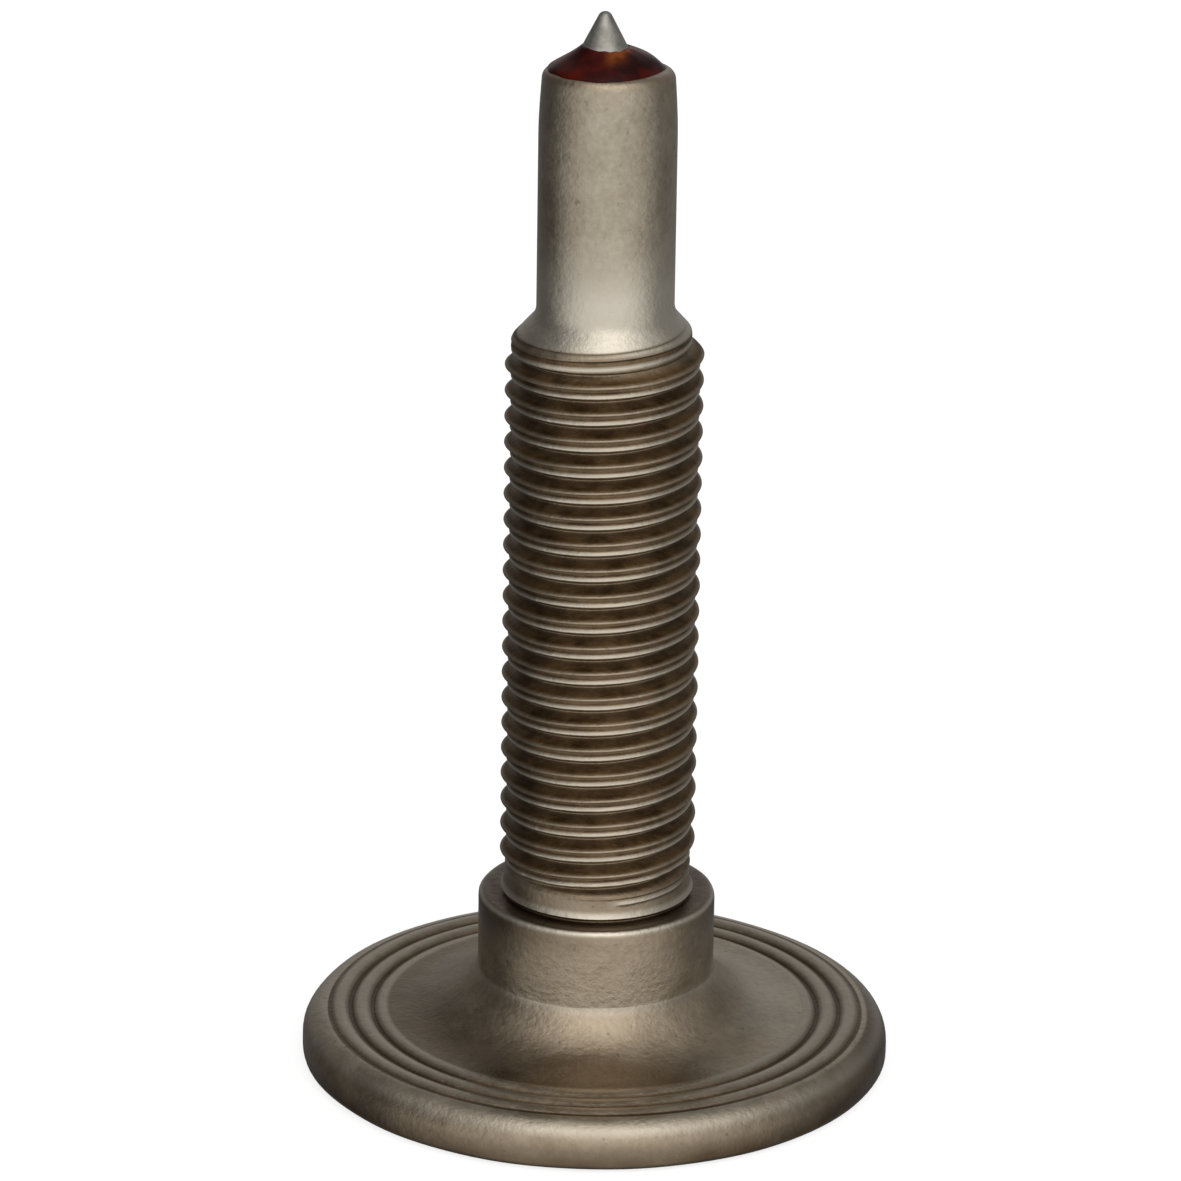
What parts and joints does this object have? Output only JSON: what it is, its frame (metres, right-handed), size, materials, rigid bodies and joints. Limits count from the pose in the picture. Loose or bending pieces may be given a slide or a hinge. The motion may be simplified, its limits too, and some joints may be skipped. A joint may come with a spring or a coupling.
{
  "type": "carbide traction stud",
  "caption": "Steel traction stud with a grooved flange, a belt collar, a threaded shank and a brazed carbide point.",
  "frame": {"origin": "centre of the flat base of the flange", "axes": "+Z along the stud's axis, from the flange towards the carbide point"},
  "size_m": [0.0232, 0.0232, 0.043],
  "materials": {
    "steel": "tumbled, oiled, dull grey-brown steel with rolled thread",
    "carbide": "light grey sintered carbide, matt and fine grained",
    "braze": "glossy dark red to amber braze flux film"
  },
  "bodies": {
    "root": {"stud_body": "steel", "carbide_tip": "carbide", "braze_fillet": "braze"}
  },
  "joints": []
}
